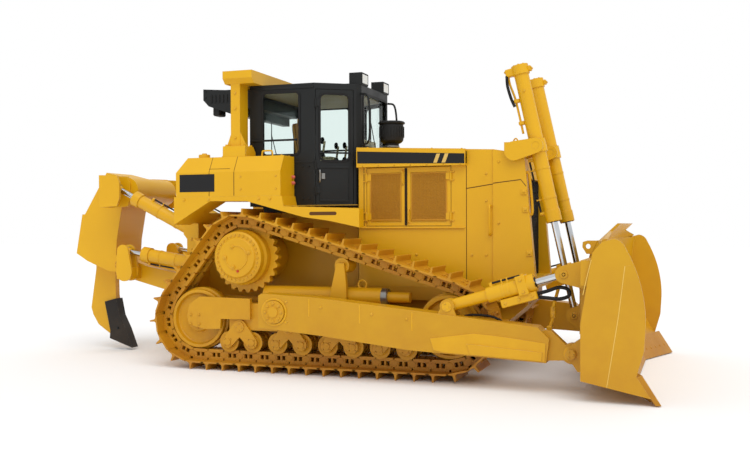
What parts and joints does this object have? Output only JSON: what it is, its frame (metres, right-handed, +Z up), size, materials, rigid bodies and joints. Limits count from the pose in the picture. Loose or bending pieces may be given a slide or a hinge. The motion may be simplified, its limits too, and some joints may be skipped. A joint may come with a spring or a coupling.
{
  "type": "crawler bulldozer",
  "caption": "Crawler bulldozer with a semi-U blade on push arms, an enclosed cab with a rollover bar and a single-shank rear ripper.",
  "frame": {"origin": "on the ground, at the middle of the overall length and width", "axes": "+X forward towards the blade, +Y to the machine's left, +Z up"},
  "size_m": [7.8576, 3.94, 3.59],
  "materials": {
    "yellow_paint": "semi-gloss golden construction yellow paint",
    "black_paint": "satin black paint",
    "track_steel": "yellow paint on rolled and cast track steel",
    "edge_steel": "yellow paint on hardened wear steel",
    "tip_steel": "black cast ripper tip",
    "chrome_rod": "hard chrome cylinder rod",
    "engine_grey": "grey painted cast iron",
    "black_plastic": "matte black moulded plastic",
    "cab_plastic": "beige moulded trim",
    "seat_fabric": "dark woven seat cloth",
    "window_glass": "lightly tinted safety glass"
  },
  "bodies": {
    "machine": {"final_drives": "yellow_paint", "sprockets": "track_steel", "track_right": "track_steel", "track_left": "track_steel", "idlers": "track_steel", "track_rollers": "track_steel", "carrier_rollers": "track_steel", "bogie_plates": "yellow_paint", "track_frames": "yellow_paint", "arm_trunnions": "yellow_paint", "main_case": "yellow_paint", "engine_block": "engine_grey", "hood": "yellow_paint", "radiator_guard": "yellow_paint", "front_grille": "black_paint", "precleaner": "black_plastic", "cab_shell": "black_paint", "cab_glass": "window_glass", "seat": "seat_fabric", "console": "cab_plastic", "ac_unit": "black_paint", "rops_bar": "yellow_paint", "fender_tanks": "yellow_paint", "fenders": "yellow_paint", "roof_lamps": "black_plastic", "lift_yokes": "yellow_paint", "ripper_bracket": "yellow_paint"},
    "push_arms": {"push_arm_right": "yellow_paint", "push_arm_left": "yellow_paint"},
    "blade": {"blade": "yellow_paint", "blade_frame": "yellow_paint", "blade_lugs": "yellow_paint", "cutting_edge": "edge_steel"},
    "lift_barrels": {"lift_barrels": "yellow_paint"},
    "lift_rods": {"lift_rods": "chrome_rod"},
    "tilt_barrels": {"tilt_barrels": "yellow_paint"},
    "tilt_rods": {"tilt_rods": "chrome_rod"},
    "ripper_arm": {"ripper_arm": "yellow_paint"},
    "ripper_pin": {"ripper_pin": "edge_steel"},
    "ripper_beam": {"ripper_beam": "yellow_paint", "ripper_shank": "yellow_paint", "ripper_tip": "tip_steel"},
    "ripper_tilt_barrels": {"ripper_tilt_barrels": "yellow_paint"},
    "ripper_tilt_rods": {"ripper_tilt_rods": "chrome_rod"},
    "ripper_lift_barrels": {"ripper_lift_barrels": "yellow_paint"},
    "ripper_lift_rods": {"ripper_lift_rods": "chrome_rod"},
    "cab_door_right": {"cab_door_right": "black_paint", "door_glass_right": "window_glass"},
    "cab_door_left": {"cab_door_left": "black_paint", "door_glass_left": "window_glass"},
    "engine_door_rear_right": {"engine_door_rear_right": "yellow_paint"},
    "engine_door_rear_left": {"engine_door_rear_left": "yellow_paint"},
    "engine_door_front_right": {"engine_door_front_right": "yellow_paint"},
    "engine_door_front_left": {"engine_door_front_left": "yellow_paint"}
  },
  "joints": [
    {"name": "blade_lift", "type": "hinge", "parent": "machine", "child": "push_arms", "pos_m": [-0.27, 0, 0.75], "axis": [0, -1, 0], "range_deg": [-8, 17]},
    {"name": "lift_barrel_swing", "type": "hinge", "parent": "machine", "child": "lift_barrels", "pos_m": [2.53, 0, 2.617], "axis": [0, -1, 0], "range_deg": [-2.38, 5.04]},
    {"name": "lift_rod_slide", "type": "slide", "parent": "lift_barrels", "child": "lift_rods", "axis": [0.2159, 0, -0.9764], "range_m": [-0.94217, 0.44343]},
    {"name": "blade_pitch", "type": "hinge", "parent": "push_arms", "child": "blade", "pos_m": [3.037, 0, 0.41], "axis": [0, 1, 0], "range_deg": [-5, 5]},
    {"name": "tilt_barrel_swing", "type": "hinge", "parent": "push_arms", "child": "tilt_barrels", "pos_m": [1.74, 0, 0.862], "axis": [0, 1, 0], "range_deg": [-0.63, 0.63]},
    {"name": "tilt_rod_slide", "type": "slide", "parent": "tilt_barrels", "child": "tilt_rods", "axis": [0.9598, 0, 0.2808], "range_m": [-0.06969, 0.06969]},
    {"name": "ripper_lift", "type": "hinge", "parent": "machine", "child": "ripper_arm", "pos_m": [-1.898, 0, 0.95], "axis": [0, 1, 0], "range_deg": [-22, 26]},
    {"name": "ripper_pin_turn", "type": "hinge", "parent": "ripper_arm", "child": "ripper_pin", "pos_m": [-3.11, 0, 1.205], "axis": [0, 1, 0], "range_deg": [-17.05, 14.43]},
    {"name": "ripper_pitch", "type": "hinge", "parent": "ripper_pin", "child": "ripper_beam", "pos_m": [-3.11, 0, 1.205], "axis": [0, 1, 0], "range_deg": [-8, 9]},
    {"name": "ripper_tilt_barrel_swing", "type": "hinge", "parent": "machine", "child": "ripper_tilt_barrels", "pos_m": [-1.885, 0, 1.66], "axis": [0, 1, 0], "range_deg": [-22.98, 27.16]},
    {"name": "ripper_tilt_rod_slide", "type": "slide", "parent": "ripper_tilt_barrels", "child": "ripper_tilt_rods", "axis": [-0.8967, 0, 0.4426], "range_m": [-0.14903, 0.13248]},
    {"name": "ripper_lift_barrel_swing", "type": "hinge", "parent": "machine", "child": "ripper_lift_barrels", "pos_m": [-1.885, 0, 1.245], "axis": [0, 1, 0], "range_deg": [-23.11, 27.31]},
    {"name": "ripper_lift_rod_slide", "type": "slide", "parent": "ripper_lift_barrels", "child": "ripper_lift_rods", "axis": [-0.9892, 0, 0.1467], "range_m": [-0.12893, 0.10911]},
    {"name": "cab_door_right_swing", "type": "hinge", "parent": "machine", "child": "cab_door_right", "pos_m": [-0.06972, -0.85109, 2.6], "axis": [0, 0, -1], "range_deg": [0, 95]},
    {"name": "engine_door_rear_right_swing", "type": "hinge", "parent": "machine", "child": "engine_door_rear_right", "pos_m": [0.487, -0.614, 2.05], "axis": [0, 0, -1], "range_deg": [0, 80]},
    {"name": "engine_door_front_right_swing", "type": "hinge", "parent": "machine", "child": "engine_door_front_right", "pos_m": [1.532, -0.614, 2.05], "axis": [0, 0, 1], "range_deg": [0, 105]},
    {"name": "cab_door_left_swing", "type": "hinge", "parent": "machine", "child": "cab_door_left", "pos_m": [-0.06972, 0.85109, 2.6], "axis": [0, 0, 1], "range_deg": [0, 95]},
    {"name": "engine_door_rear_left_swing", "type": "hinge", "parent": "machine", "child": "engine_door_rear_left", "pos_m": [0.487, 0.614, 2.05], "axis": [0, 0, 1], "range_deg": [0, 80]},
    {"name": "engine_door_front_left_swing", "type": "hinge", "parent": "machine", "child": "engine_door_front_left", "pos_m": [1.532, 0.614, 2.05], "axis": [0, 0, -1], "range_deg": [0, 105]}
  ],
  "couplings": [
    {"joint": "lift_barrel_swing", "follows": "blade_lift", "ratio": 0.296},
    {"joint": "lift_rod_slide", "follows": "blade_lift", "m_per_rad": -3.1751},
    {"joint": "tilt_barrel_swing", "follows": "blade_pitch", "ratio": 0.12455},
    {"joint": "tilt_rod_slide", "follows": "blade_pitch", "m_per_rad": 0.79745},
    {"joint": "ripper_pin_turn", "follows": "ripper_lift", "ratio": -0.6553},
    {"joint": "ripper_tilt_barrel_swing", "follows": "ripper_lift", "ratio": 1.0441},
    {"joint": "ripper_tilt_rod_slide", "follows": "ripper_pitch", "m_per_rad": -0.9481},
    {"joint": "ripper_lift_barrel_swing", "follows": "ripper_lift", "ratio": 1.0501},
    {"joint": "ripper_lift_rod_slide", "follows": "ripper_lift", "m_per_rad": -0.2839}
  ]
}
